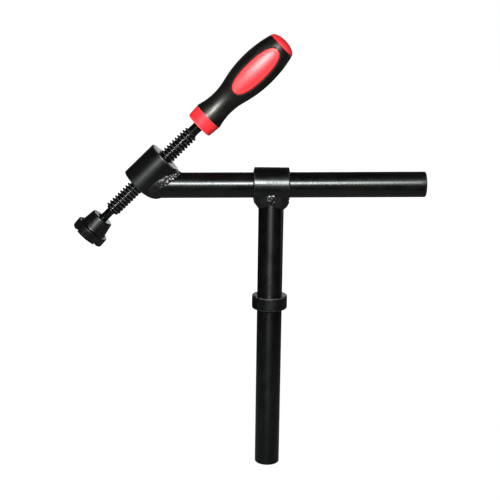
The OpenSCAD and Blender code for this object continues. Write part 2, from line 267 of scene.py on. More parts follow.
# A maker adds nodes to the tree of a material or of the world
class Maker:
    def __init__(self, owner, outputKind):
        owner.use_nodes = True
        self.tree = owner.node_tree
        self.tree.nodes.clear()
        self.output = self.tree.nodes.new(outputKind)

    def feed(self, node, sockets):
        for key, value in sockets.items():
            if isinstance(value, Wire):
                self.tree.links.new(value.socket, node.inputs[key])
            else:
                node.inputs[key].default_value = value

    def node(self, kind, settings, sockets, out=0):
        node = self.tree.nodes.new(kind)
        for key, value in settings.items():
            setattr(node, key, value)
        self.feed(node, sockets)
        return Wire(self, node.outputs[out])

    def spot(self, turn, stretch):
        # object coordinates, turned about y so that a piece's length lies on z, then stretched
        point = self.node("ShaderNodeTexCoord", {}, {}, "Object")
        along = self.node("ShaderNodeMapping", {}, {"Vector": point, "Rotation": (0, turn, 0)})
        return self.node("ShaderNodeVectorMath", {"operation": "MULTIPLY"}, {0: along, 1: stretch})

    def noise(self, look, turn=0.0, finer=1.0):
        # a look is the squeeze along the piece, the scale, the detail and the roughness
        squeeze, scale, detail, rough = look
        sockets = {"Vector": self.spot(turn, (1, 1, squeeze)), "Scale": scale * finer, "Detail": detail,
                   "Roughness": rough}
        return self.node("ShaderNodeTexNoise", {}, sockets)

    # a mesh attribute for rubbed rims and for painted light: painted highlights, painted shade in seams, lit
    # spatter
    def wearAndPaintedLight(self):
        return self.node("ShaderNodeAttribute", {"attribute_name": "wearAndPaintedLight"}, {}, "Fac")

    def ray(self, kind):
        return self.node("ShaderNodeLightPath", {}, {}, kind)

    def blend(self, share, first, second):
        # colour mix
        return self.node("ShaderNodeMix", {"data_type": "RGBA"}, {0: share, 6: first, 7: second}, 2)

    def bump(self, height, distance=1.0):
        return self.node("ShaderNodeBump", {}, {"Height": height, "Distance": distance})

    def mixShaders(self, share, first, second):
        mixed = self.node("ShaderNodeMixShader", {}, {0: share, 1: first, 2: second})
        self.feed(self.output, {"Surface": mixed})


# A finish is the maker of one piece's material: constants go straight onto the shader's sockets
class Finish(Maker):
    def __init__(self, name, **constants):
        self.material = bpy.data.materials.new(name)
        super().__init__(self.material, "ShaderNodeOutputMaterial")
        self.shader = self.tree.nodes.new("ShaderNodeBsdfPrincipled")
        self.feed(self.output, {"Surface": Wire(self, self.shader.outputs[0])})
        self.set(**constants)

    def set(self, **sockets):
        self.feed(self.shader, {key.replace("_", " "): value for key, value in sockets.items()})
        return self.material


# Black steel: the patterns and shares that every piece has, and a look that each piece changes
oxide = {
    "tint": (0.93, 1, 0.99, 1), "rubbedAndSheen": (0.16, 0.16, 0.17, 1),
    "stains": (0.45, 95, 6, 0.62), "blotches": (0.7, 31, 3, 0.5), "streaks": (0.018, 1300, 3, 0.6),
    "grain": (1, 2100, 2, 0.5), "spots": (1, 420, 4, 0.7), "rims": (1, 260, 3, 0.55),
    "dents": (0.6, 430, 3, 0.5),
    "stained": (0.38, 0.68), "rusty": (0.56, 0.72), "spotted": (0.45, 0.7), "bareAndSheen": (0.38, 0.6),
    "clouded": (0.3, 0.7),
    "rustShare": 0.45, "rubAndSheenShare": 0.5, "dullStains": 0.4, "dullStreaks": 0.2, "dullSpots": 0.5,
}
blackLook = {
    "dark": (0.0006, 0.0007, 0.0007, 1), "pale": (0.003, 0.003, 0.0029, 1), "rust": (0.007, 0.005, 0.0035, 1),
    "rough": (0.28, 0.4), "ior": 1.62, "pull": 0.0, "pullTurn": 0.0,
    "streak": 0.003 * mm, "grain": 0.002 * mm, "dent": 0.012 * mm,
}


def blackSteel(name, look, turn):
    # oxide in soft stains, fine streaks along the piece, a dull grain, and rims rubbed a little paler;
    # that paleness is also a painted highlight along the rounded edges.
    # The shine is pulled out along the piece, as fine grinding marks round it would do.
    m = Finish(name, IOR=look["ior"], Specular_Tint=oxide["tint"], Anisotropic=look["pull"],
               Anisotropic_Rotation=look["pullTurn"])
    stains = m.noise(oxide["stains"], turn)
    streaks = m.noise(oxide["streaks"], turn)
    spots = m.noise(oxide["spots"], turn).within(*oxide["spotted"])
    rusty = m.noise(oxide["blotches"], turn).within(*oxide["rusty"])
    # pale rims: rubbed edges that also serve as a painted highlight
    rims = m.wearAndPaintedLight() * m.noise(oxide["rims"], turn).within(*oxide["bareAndSheen"])
    colour = m.blend(stains.within(*oxide["stained"]), look["dark"], look["pale"])
    colour = m.blend(rusty * oxide["rustShare"], colour, look["rust"])
    colour = m.blend(rims * oxide["rubAndSheenShare"], colour, oxide["rubbedAndSheen"])
    dull = (stains.within(*oxide["clouded"]) * oxide["dullStains"]
            + streaks.within(*oxide["clouded"]) * oxide["dullStreaks"] + spots * oxide["dullSpots"])
    low, high = look["rough"]
    height = (streaks * look["streak"] + m.noise(oxide["grain"], turn) * look["grain"]
              + m.noise(oxide["dents"], turn) * look["dent"] - spots * look["grain"])
    return m.set(Base_Color=colour, Roughness=low + (high - low) * dull, Normal=m.bump(height))


# Post and collar: the shank below the collar is duller, and the two parts of the bar meet inside the collar
post = {"bevel": 0.9 * mm, "intoSleeve": 1.5 * mm, "meet": (collarLow.z + collarHigh.z) / 2}
postLook = dict(blackLook, pull=0.68, pullTurn=0.25, streak=0.004 * mm)
shankLook = dict(postLook, ior=1.5, pull=0.64)
postGrid = copedBar(barRadius, armHeight - post["meet"], sleeveRadius - post["intoSleeve"], quarter,
                    post["bevel"])
addPiece("postBar", [postGrid], hangingFrame, "post",
         blackSteel("postSteel", postLook, 0), "post")
line, wearAndPaintedLight = outline([
    (0, postLow.z, 0),
    (barRadius, postLow.z, post["bevel"]),
    (barRadius, post["meet"], 0),
    (0, post["meet"], 0),
])
addPiece("shankBar", [turned(line, wearAndPaintedLight)], postFrame, "post",
         blackSteel("shankSteel", shankLook, 0), "post")

collar = {"rounding": 1.1 * mm, "radius": (collarHigh.x - collarLow.x) / 2, "bore": barRadius - 0.5 * mm,
          "step": 2 * mm}
collarLook = dict(blackLook, dark=(0.0008, 0.0009, 0.0009, 1), pale=(0.004, 0.004, 0.0038, 1),
                  rust=(0.01, 0.007, 0.005, 1), rough=(0.35, 0.48), ior=1.5, pull=0.3, pullTurn=0.25,
                  streak=0.004 * mm, grain=0.004 * mm)
line, wearAndPaintedLight = outline([
    (collar["bore"], collarLow.z, 0),
    (collar["radius"], collarLow.z, collar["rounding"]),
    (collar["radius"], collarHigh.z, collar["rounding"]),
    (collar["bore"], collarHigh.z, 0),
])
line, wearAndPaintedLight = denser(line, wearAndPaintedLight, collar["step"])
addPiece("stopCollar", [turned(line, wearAndPaintedLight, closed=True)], postFrame, "post",
         blackSteel("collarSteel", collarLook, 0), "stop_collar")

# Sleeve: its end faces fall back a little towards their rims
sleeve = {"half": 20.2 * mm, "bore": barRadius + 0.35 * mm, "slope": 1.3 * mm, "rounding": 0.5 * mm,
          "mouth": 0.4 * mm, "step": 2 * mm}
sleeveLook = dict(blackLook, dark=(0.0005, 0.0006, 0.0006, 1), pale=(0.0028, 0.0028, 0.0027, 1),
                  rust=(0.008, 0.006, 0.0045, 1), rough=(0.27, 0.45), ior=1.7, pull=0.5, dent=0.014 * mm)
line, wearAndPaintedLight = outline([
    (sleeve["bore"], 0, 0),
    (sleeve["bore"], sleeve["half"], sleeve["mouth"]),
    (sleeveRadius, sleeve["half"] - sleeve["slope"], sleeve["rounding"]),
    (sleeveRadius, -sleeve["half"] + sleeve["slope"], sleeve["rounding"]),
    (sleeve["bore"], -sleeve["half"], sleeve["mouth"]),
    (sleeve["bore"], 0, 0),
])
line, wearAndPaintedLight = denser(line, wearAndPaintedLight, sleeve["step"])
addPiece("sleeveTube", [turned(line, wearAndPaintedLight)], sleeveFrame, "post",
         blackSteel("sleeveSteel", sleeveLook, sleeveTurn), "sleeve")

# Arm and boss
arm = {"reach": 169 * mm, "rounding": 1.4 * mm, "intoBoss": 1.5 * mm}
armLook = dict(blackLook, rust=(0.008, 0.005, 0.0035, 1), rough=(0.26, 0.43), pull=0.58, streak=0.004 * mm)
boss = {"radius": 20 * mm, "start": 1 * mm, "length": 43.5 * mm, "rounding": 1.2 * mm, "bore": 8.9 * mm,
        "mouth": 1 * mm, "groundIn": 4.4 * mm, "groundSlope": math.radians(18), "groundEdge": 2.4 * mm,
        "step": 1 * mm, "around": 160}
bossLook = dict(blackLook, rust=(0.006, 0.005, 0.0035, 1), rough=(0.32, 0.44), pull=0.3, pullTurn=0.125,
                grain=0.003 * mm, dent=0.02 * mm)


def groundOff(grid, axes):
    # what lies below a slope that starts inside the boss's lower rim moves up the screw's line onto
    # the slope. The greater of the two heights is taken, plus a square term that softens the edge.
    local = (place(grid["points"], axes) - screwFrame[0]) @ screwFrame[1].T
    rise = (local[..., 0] - boss["radius"] + boss["groundIn"]) * math.tan(boss["groundSlope"])
    below = boss["start"] + rise - local[..., 2]
    soft = np.maximum(boss["groundEdge"] - np.abs(below), 0) ** 2 / (4 * boss["groundEdge"])
    grid["points"] = grid["points"] + (np.maximum(below, 0) + soft)[..., None] * (axes[1] @ screwDir)
    return grid


armLength = arm["reach"] + np.linalg.norm(crossing - (0, 0, armHeight))
armGrid = copedBar(barRadius, armLength, boss["radius"] - arm["intoBoss"], screwAngle, arm["rounding"])
addPiece("armBar", [groundOff(armGrid, armFrame)], armFrame, "arm",
         blackSteel("armSteel", armLook, armTurn), "arm_bar")
bossTop = boss["start"] + boss["length"]
bossMiddle = boss["start"] + boss["length"] / 2
line, wearAndPaintedLight = outline([
    (boss["bore"], bossMiddle, 0),
    (boss["bore"], boss["start"] + boss["mouth"], 0),
    (boss["bore"] + boss["mouth"], boss["start"], 0),
    (boss["radius"], boss["start"], boss["rounding"]),
    (boss["radius"], bossTop, boss["rounding"]),
    (boss["bore"] + boss["mouth"], bossTop, 0),
    (boss["bore"], bossTop - boss["mouth"], 0),
    (boss["bore"], bossMiddle, 0),
])
line, wearAndPaintedLight = denser(line, wearAndPaintedLight, boss["step"])
bossGrid = turned(line, wearAndPaintedLight, boss["around"])
addPiece("threadedBoss", [groundOff(bossGrid, screwFrame)], screwFrame, "arm",
         blackSteel("bossSteel", bossLook, screwTurn), "threaded_boss")
print("stage: bars, collar, sleeve and boss made")

# Welds: a bead runs round the foot of a bar on a tube and fills the corner between their skins.
# At the boss the bead is lively on top and dressed smooth along the arm's underside. Where it is
# lively, a bead is lumpier and carries bright spatter that is partly a painted highlight, set where
# the key light reflects. On a bead the mesh attribute holds how lively and lit it is.
bead = {
    "stations": 420, "across": 20, "bury": 0.6 * mm, "legPower": 1.15, "crownPower": 1.1, "anyPhase": 6.28,
    "swell": 0.05, "swellWaves": 3, "swellStart": 0.7, "unevenWaves": (5, 8, 13),
    "footStep": 0.01, "rippleLean": 1.6, "rippleSharp": 0.7, "lumpLean": 2.3,
    "lumpWaves": ((17, 2), (29, 3), (43, 4), (71, 5)),
}
postBead = {
    "rodLegs": (6.9 * mm, 7.4 * mm, 7.9 * mm), "tubeLegs": (5.3 * mm, 5.6 * mm, 6.0 * mm),
    "crowns": (0.2 * mm, 0.3 * mm, 1.2 * mm), "livelyAndLit": (0.2, 1, 0.2), "focus": 14, "seed": 3,
    "uneven": 0.035, "ripples": 34, "ripple": 0.28 * mm, "lump": 0.16 * mm,
    "finer": 1.0, "spatterAndGlint": (0.42, 0.42, 0.399, 1),
}
armBead = {
    "rodLegs": (4.7 * mm, 6 * mm, 12.5 * mm), "tubeLegs": (2.8 * mm, 5.2 * mm, 2.6 * mm),
    "crowns": (0.1 * mm, 0.5 * mm, 0.75 * mm), "livelyAndLit": (0.9, 0.7, 0), "focus": 3, "seed": 8,
    "uneven": 0.05, "ripples": 30, "ripple": 0.3 * mm, "lump": 0.24 * mm,
    "finer": 1.15, "spatterAndGlint": (0.85, 0.85, 0.8075, 1),
}
weldLook = {
    "ior": 1.55, "dark": (0.0008, 0.0008, 0.0009, 1), "pale": (0.005, 0.005, 0.0048, 1),
    "lumps": (1, 230, 4, 0.6), "scales": (1, 800, 3, 0.6), "pitsAndGlints": (1, 420, 2, 0.55),
    "paleLumps": (0.4, 0.65), "roughScales": (0.35, 0.65), "pitted": (0.53, 0.6), "livelyAndLit": (0.34, 0.5),
    "bareAndSheen": 0.85, "rough": 0.45, "smoother": 0.2, "rougher": 0.25,
    "lumpHeight": 0.3 * mm, "scaleHeight": 0.03 * mm, "calm": 0.2,
}


def weldSteel(name, look):
    # a lumpy bead: beads of oxide, bright spatter where it is lively and lit, partly a painted highlight,
    # and a scaly skin
    m = Finish(name, IOR=weldLook["ior"])
    livelyAndLit = m.wearAndPaintedLight()
    lumps = m.noise(weldLook["lumps"], finer=look["finer"])
    scales = m.noise(weldLook["scales"], finer=look["finer"])
    pitsAndGlints = m.noise(weldLook["pitsAndGlints"], finer=look["finer"]).within(*weldLook["pitted"])
    pitsAndGlints = pitsAndGlints * livelyAndLit.within(*weldLook["livelyAndLit"])
    colour = m.blend(lumps.within(*weldLook["paleLumps"]), weldLook["dark"], weldLook["pale"])
    colour = m.blend(pitsAndGlints, colour, look["spatterAndGlint"])
    roughness = (weldLook["rough"] - weldLook["smoother"] * livelyAndLit
                 + weldLook["rougher"] * scales.within(*weldLook["roughScales"]))
    height = lumps * weldLook["lumpHeight"] + scales * weldLook["scaleHeight"]
    height = height * (weldLook["calm"] + (1 - weldLook["calm"]) * livelyAndLit)
    return m.set(Base_Color=colour, Roughness=roughness, Metallic=pitsAndGlints * weldLook["bareAndSheen"],
                 Normal=m.bump(height))


def around(values, w):
    # the first value at azimuth 0, the second at both flanks and the third opposite
    ends = np.where(np.cos(w) > 0, values[0], values[2])
    return values[1] * np.sin(w) ** 2 + ends * np.cos(w) ** 2


def unit(v):
    return v / np.linalg.norm(v, axis=-1, keepdims=True)


def saddleBead(rodRadius, tubeRadius, angle, look):
    # each point sits between a step down the bar and a step along the tube, pushed out by a crown,
    # by ripples that follow the welder's steps and by slow lumps of random phase
    chance = np.random.default_rng(look["seed"])
    w = np.arange(bead["stations"]) / bead["stations"] * 2 * math.pi

    def foot(turn):
        # the line on which the bar's skin meets the tube's skin
        return np.stack([rodRadius * np.cos(turn), rodRadius * np.sin(turn),
                         saddle(rodRadius, turn, tubeRadius, angle)], -1)

    base = foot(w)
    along = unit(foot(w + bead["footStep"]) - foot(w - bead["footStep"]))
    rodOut = np.stack([np.cos(w), np.sin(w), 0 * w], -1)
    axis = np.array([math.sin(angle), 0, math.cos(angle)])
    tubeOut = unit(base - (base @ axis)[:, None] * axis)
    # where the bead is lively and lit: lumpier, with bright spatter that is partly a painted highlight
    livelyAndLit = around(look["livelyAndLit"], w)
    lumps = bead["swell"] * np.sin(bead["swellWaves"] * w + bead["swellStart"])
    for waves in bead["unevenWaves"]:
        lumps = lumps + look["uneven"] * np.sin(waves * w + chance.uniform(0, bead["anyPhase"]))
    full = 1 + lumps * livelyAndLit
    onRod = np.cross(rodOut, along) * (full * around(look["rodLegs"], w))[:, None]
    onTube = np.cross(along, tubeOut) * (full * around(look["tubeLegs"], w))[:, None]
    outward = unit(rodOut + tubeOut)
    s = np.linspace(0, 1, bead["across"])[:, None]
    lean = np.sin(math.pi * s)
    phase = look["ripples"] * w + bead["rippleLean"] * lean
    rough = look["ripple"] * (0.5 + 0.5 * np.cos(phase)) ** bead["rippleSharp"]
    for waves, k in bead["lumpWaves"]:
        shift = k * bead["lumpLean"] * s + chance.uniform(0, bead["anyPhase"])
        rough = rough + look["lump"] * np.sin(waves * w + shift) / k
    rise = around(look["crowns"], w) * lean ** bead["crownPower"] + rough * lean * livelyAndLit
    nearRod = (1 - s) ** bead["legPower"]
    nearTube = s ** bead["legPower"]
    skin = (base + onRod * nearRod[..., None] + onTube * nearTube[..., None]
            + outward * rise[..., None])
    ends = [base + onRod - rodOut * bead["bury"], base + onTube - tubeOut * bead["bury"],
            base - (rodOut + tubeOut) * bead["bury"]]
    points = np.concatenate([ends[0][None], skin, ends[1][None], ends[2][None]])
    return {"points": points, "closeRows": True, "wearAndPaintedLight": livelyAndLit[None] ** look["focus"] + 0 * points[..., 0]}


postBeadGrid = saddleBead(barRadius, sleeveRadius, quarter, postBead)
addPiece("postBead", [postBeadGrid], hangingFrame, "post",
         weldSteel("postBeadSteel", postBead), "post_weld", sharpAngle=70)
armBeadGrid = saddleBead(barRadius, boss["radius"], screwAngle, armBead)
addPiece("armBead", [groundOff(armBeadGrid, armFrame)], armFrame, "arm",
         weldSteel("armBeadSteel", armBead), "arm_weld", sharpAngle=70)
print("stage: welds made")

# Screw: a ball and neck, the threaded stretch and the plain stem. The thread's section is given by
# shares of one pitch and, at each, how deep the section has sunk from the crest to the root.
screw = {
    "ballAt": -ballReach, "ballRadius": 5.6 * mm, "neckRadius": 4.6 * mm, "stemRadius": 5.9 * mm,
    "start": -40 * mm, "end": 84 * mm, "crest": 8.8 * mm, "root": 6.5 * mm, "pitch": 4 * mm,
    "stemEnd": 100 * mm, "coneSlope": 1.1, "fold": 1.2, "overlap": 1 * mm, "neckGap": 0.6 * mm,
    "threadSides": 72, "stemSides": 64, "spareTurns": 2, "ballRows": 24, "neckRows": 12, "stemRows": 10,
    "along": (0, 0.06, 0.24, 0.3, 0.36, 0.45, 0.5, 0.56, 0.74, 0.8, 0.86, 0.95),
    "sunk": (0.05, 0, 0, 0.05, 0.3, 0.8, 0.95, 1, 1, 0.95, 0.7, 0.2),
    "rubFrom": 1.4, "rubFall": 3, "rubbedAndSheen": 0.5,
}
screwLook = dict(blackLook, dark=(0.0005, 0.0005, 0.0006, 1), pale=(0.0025, 0.0025, 0.0025, 1),
                 rust=(0.005, 0.004, 0.003, 1), rough=(0.15, 0.3), ior=1.52, streak=0.001 * mm, dent=0)


def threadGrid(look):
    # a sheet of corner points that climbs with the helix. The radius follows a rounded trapezoid
    # and never passes a cone at either end. Past the ends the points fold into flat discs, and
    # each column's nearest point is moved onto the disc's rim.
    pitch, count, spare = look["pitch"], look["threadSides"], look["spareTurns"]
    turns = int(math.ceil((look["end"] - look["start"]) / pitch)) + 2 * spare
    low = look["start"] - spare * pitch
    z = (low + pitch * (np.arange(turns)[:, None] + np.array(look["along"]))).reshape(-1)
    z = z[:, None] + pitch * np.arange(count) / count
    sunk = np.tile(look["sunk"], turns)[:, None] + 0 * z
    for limit in (look["start"], look["end"]):
        nearest = np.abs(z - limit).argmin(0)
        z[nearest, np.arange(count)] = limit
    past = np.maximum(np.maximum(look["start"] - z, z - look["end"]), 0)
    inside = np.clip(z, look["start"], look["end"])
    cone = look["root"] + np.minimum(inside - look["start"], look["end"] - inside) * look["coneSlope"]
    radius = np.minimum(look["crest"] - (look["crest"] - look["root"]) * sunk, cone)
    radius = radius * np.maximum(0, 1 - past / (look["fold"] * pitch))
    w = np.arange(count) / count * 2 * math.pi
    points = np.stack([radius * np.cos(w), radius * np.sin(w), inside], -1)
    rows = len(z)
    index = np.arange(rows * count).reshape(rows, count)
    # the last column joins the first one pitch higher
    step = len(look["along"])
    seam = np.stack([index[:-1 - step, -1], index[step:-1, 0], index[1 + step:, 0], index[1:-step, -1]],
                    -1)
    flat = radius.reshape(-1)
    keep = flat[gridFaces(rows, count, closeColumns=False)].max(1) > 0
    # the crests are rubbed a little
    wearAndPaintedLight = np.clip(look["rubFrom"] - look["rubFall"] * sunk, 0, 1) * (past == 0) * look["rubbedAndSheen"]
    return {"points": points, "closeColumns": False, "keep": keep, "loose": seam[flat[seam].max(1) > 0],
            "wearAndPaintedLight": wearAndPaintedLight}


bend = np.linspace(-quarter, math.acos(screw["neckRadius"] / screw["ballRadius"]), screw["ballRows"])
ballLine = np.stack([screw["ballRadius"] * np.cos(bend),
                     screw["ballAt"] + screw["ballRadius"] * np.sin(bend)], 1)
ballLine[0, 0] = 0
neckStart = ballLine[-1, 1] + screw["neckGap"]
neckLine = upright(screw["neckRadius"], neckStart, screw["start"] + screw["overlap"], screw["neckRows"])
ballAndNeck = np.vstack([ballLine, neckLine, [0, neckLine[-1, 1]]])
stemStart = screw["end"] - screw["overlap"]
stemSide = upright(screw["stemRadius"], stemStart, screw["stemEnd"], screw["stemRows"])
stemLine = np.vstack([[0, stemStart], stemSide, [0, screw["stemEnd"]]])
plainGrids = [turned(part, count=screw["stemSides"]) for part in (ballAndNeck, stemLine)]
addPiece("spindleThread", [threadGrid(screw)] + plainGrids, screwFrame, "screw",
         blackSteel("threadSteel", screwLook, screwTurn), "spindle", sharpAngle=28)
print("stage: screw made")

# Grip: its side is two arcs that touch, a hollow one at the waist and a full one over the belly.
# The lip rows go over the window's rim and the panel rows go in from it: each is an offset from
# the window's edge and a depth under the skin, in millimetres, as panelTop and panelCrown are. The
# last number of a panel row is its pale mark, mostly a painted highlight along the step.
grip = {
    "ringStart": 94.6 * mm, "coverStart": 109.2 * mm, "coverEnd": 217 * mm,
    "ringLow": 15.7 * mm, "ringTop": 16.7 * mm, "ringCorner": 2 * mm, "ringEdge": 0.3 * mm,
    "ringGap": 0.15 * mm, "ringBore": 0.8 * mm, "ringStep": 1.5 * mm, "ringInside": 1 * mm,
    "waistAt": 130 * mm, "waist": 13.85 * mm, "waistCurve": 67 * mm,
    "bellyAt": 182 * mm, "belly": 20.7 * mm, "dome": 7.4 * mm, "domeInset": 0.25 * mm,
    "domeFoot": (0.6 * mm, 0.1 * mm), "domeRows": 25,
    "windowAt": 179.5 * mm, "windowHalf": 32 * mm, "windowWide": 12.2 * mm, "blunt": 2.4,
    "wall": 2 * mm, "seam": 0.3 * mm, "around": 120, "nearRim": 1.1 * mm, "endFace": 0.999,
    "edgeShares": (0, 0.006, 0.02), "skinShares": (0.06, 1, 24), "wallRows": 12,
    "tuck": (0.35 * mm, 0.08 * mm),
    "lip": ((0.45, 0.01), (0.2, 0.08), (0.06, 0.25), (0, 0.6), (0, 1.2), (0, 2)),
    "panel": ((0.05, 3.2, 0), (0.05, 1.3, 0), (0.2, 0.95, 0.2), (0.6, 0.8, 0), (1.2, 0.76, 0), (2, 0.76, 0),
              (2.4, 0.78, 0.2), (2.6, 0.76, 0.8), (2.85, 0.6, 1), (3.15, 0.38, 1), (3.5, 0.26, 0.4),
              (4.2, 0.2, 0)),
    "panelUnder": 3.2 * mm, "underRows": 6, "panelTop": 0.2, "panelCrown": 0.08, "crownShares": (0.9, 0, 10),
}
# the lip colour is a painted shade in the seam round each window
softLook = {
    "ior": 1.7, "tint": (1, 0.99, 0.93, 1), "deep": (0.0015, 0.0015, 0.0013, 1),
    "pale": (0.0045, 0.0045, 0.0036, 1), "lip": (0.002, 0.002, 0.002, 1),
    "cloud": (1, 45, 4, 0.55), "pebble": (1, 1500, 3, 0.6),
    "marks": (0.2, 240, 4, 0.55), "cloudy": (0.35, 0.7), "marked": (0.45, 0.7),
    "rough": 0.33, "roughPebble": 0.1, "roughMarks": 0.14, "roughLip": 0.5, "pebbleHeight": 0.014 * mm,
}
redLook = {
    "deep": (0.9, 0.022, 0.032, 1), "light": (0.96, 0.034, 0.044, 1), "rubbedAndSheen": (0.98, 0.3, 0.28, 1),
    "cloud": (1, 60, 3, 0.55), "skin": (1, 1900, 3, 0.6), "rims": (1, 300, 3, 0.55),
    "cloudy": (0.35, 0.65), "bareAndSheen": (0.2, 0.5), "rubAndSheenShare": 0.45,
    "rough": 0.42, "roughSkin": 0.12, "skinHeight": 0.008 * mm, "endsIor": 1.58, "windowIor": 2.0,
}
arcRun = grip["bellyAt"] - grip["waistAt"]
arcRise = grip["belly"] - grip["waist"]
arcSum = (arcRun ** 2 + arcRise ** 2) / (2 * arcRise)
bellyCurve = arcSum - grip["waistCurve"]
arcChange = grip["waistAt"] + arcRun * grip["waistCurve"] / arcSum


def softBlack():
    # soft overmould: black, matt, with a leathery pebble and faint handling marks
    m = Finish("softBlack", IOR=softLook["ior"], Specular_Tint=softLook["tint"])
    pebble = m.noise(softLook["pebble"])
    marks = m.noise(softLook["marks"], screwTurn).within(*softLook["marked"])
    lip = m.wearAndPaintedLight()
    cloud = m.noise(softLook["cloud"]).within(*softLook["cloudy"])
    colour = m.blend(cloud, softLook["deep"], softLook["pale"])
    # the lip over the window's rim is painted a little darker, a painted shade in the seam, and made duller
    colour = m.blend(lip, colour, softLook["lip"])
    roughness = (softLook["rough"] + softLook["roughPebble"] * pebble + softLook["roughMarks"] * marks
                 + softLook["roughLip"] * lip)
    return m.set(Base_Color=colour, Roughness=roughness, Normal=m.bump(pebble, softLook["pebbleHeight"]))


def redMoulding(name, ior):
    # hard satin plastic: even colour, paler where it is rubbed and in a painted highlight along the window
    # panel's step, with a fine spark-eroded skin
    m = Finish(name, IOR=ior)
    skin = m.noise(redLook["skin"])
    # pale rims: rubbed edges, and a painted highlight along the panel's step
    rims = m.wearAndPaintedLight() * m.noise(redLook["rims"]).within(*redLook["bareAndSheen"])
    cloud = m.noise(redLook["cloud"]).within(*redLook["cloudy"])
    colour = m.blend(cloud, redLook["deep"], redLook["light"])
    colour = m.blend(rims * redLook["rubAndSheenShare"], colour, redLook["rubbedAndSheen"])
    return m.set(Base_Color=colour, Roughness=redLook["rough"] + redLook["roughSkin"] * skin,
                 Normal=m.bump(skin, redLook["skinHeight"]))


def gripRadius(t):
    # at distance t up the screw: the waist's arc below the point where the arcs touch, the belly's above
    drop = np.minimum(np.abs(t - grip["waistAt"]), grip["waistCurve"])
    hollow = grip["waist"] + grip["waistCurve"] - np.sqrt(grip["waistCurve"] ** 2 - drop ** 2)
    fuller = grip["belly"] - bellyCurve + np.sqrt(bellyCurve ** 2 - (t - grip["bellyAt"]) ** 2)
    return np.where(t < arcChange, hollow, fuller)


def ovalPoint(w, offset):
    # a blunt oval round the window's middle: each coordinate is a power of the cosine or the sine
    power = 2 / grip["blunt"]
    t = grip["windowAt"] + (grip["windowHalf"] + offset) * np.sign(np.cos(w)) * np.abs(np.cos(w)) ** power
    x = (grip["windowWide"] + offset) * np.sign(np.sin(w)) * np.abs(np.sin(w)) ** power
    return t, np.arcsin(x / gripRadius(t))


def onGrip(t, lean, depth, side):
    # a point at distance t up the screw, turned by lean from the front, a depth under the skin
    radius = gripRadius(t) - depth
    return np.stack([radius * np.sin(lean), -side * radius * np.cos(lean), t + 0 * radius], -1)


def coverHalf(side):
    # rows run from the grip's ends and sides in to the window's rim, over it, and back under the skin
    count = grip["around"]
    w = np.arange(count) / count * 2 * math.pi
    far = np.maximum(np.abs(np.cos(w)), np.abs(np.sin(w)))
    up, out = np.cos(w) / far, np.sin(w) / far
    edgeT = np.where(up > 0, grip["windowAt"] + up * (grip["coverEnd"] - grip["windowAt"]),
                     grip["windowAt"] + up * (grip["windowAt"] - grip["coverStart"]))
    edgeLean = out * quarter
    rimT, rimLean = ovalPoint(w, grip["nearRim"])
    atEnd = np.abs(up) > grip["endFace"]

    def between(share):
        # share 0 is the edge of the half and share 1 is the window's rim
        return edgeT * (1 - share) + rimT * share, edgeLean * (1 - share) + rimLean * share

    skinShare = np.concatenate([grip["edgeShares"], np.linspace(*grip["skinShares"])])[:, None]
    tuck = np.zeros_like(skinShare)
    tuck[:2, 0] = grip["tuck"]
    lip = np.array(grip["lip"]) * mm
    parts = [
        (*between(skinShare), np.where(atEnd, tuck, 0), 0),
        (*ovalPoint(w, lip[:, :1] + grip["seam"]), lip[:, 1:], 1),
        (*between(np.linspace(1, 0, grip["wallRows"])[1:, None]), grip["wall"], 0),
    ]
    t, lean, depth, wearAndPaintedLight = [np.vstack([np.broadcast_to(part[k], part[0].shape) for part in parts])
                            for k in range(4)]
    # the lips at the two ends join the last row to the first
    last = (len(t) - 1) * count
    here = np.arange(count)
    after = (here + 1) % count
    ends = atEnd[here] & atEnd[after] & (np.sign(up[here]) == np.sign(up[after]))
    here, after = here[ends], after[ends]
    return {"points": onGrip(t, lean, depth, side), "wearAndPaintedLight": wearAndPaintedLight,
            "loose": np.stack([last + here, last + after, after, here], -1)}


def windowPanel(side):
    # a lens that fills the window: a buried underside, a lower border, a step and a raised middle
    count = grip["around"]
    w = np.arange(count) / count * 2 * math.pi
    rows = np.array(grip["panel"])
    rimT, rimLean = ovalPoint(w, -rows[:, :1] * mm)

    def inward(share, depth):
        # rows between the window's middle, at share 0, and the panel's last row, at share 1
        t = grip["windowAt"] + (rimT[-1] - grip["windowAt"]) * share
        return onGrip(t, rimLean[-1] * share, depth, side)

    out = np.linspace(0, 1, grip["underRows"])[:, None]
    share = np.linspace(*grip["crownShares"])[:, None]
    crown = (grip["panelTop"] - grip["panelCrown"] * (1 - share ** 2)) * mm
    points = np.concatenate([inward(out, grip["panelUnder"]), onGrip(rimT, rimLean, rows[:, 1:2] * mm, side),
                             inward(share, crown)])
    wearAndPaintedLight = np.concatenate([0 * out, rows[:, 2:], 0 * share])
    return {"points": points, "wearAndPaintedLight": wearAndPaintedLight}


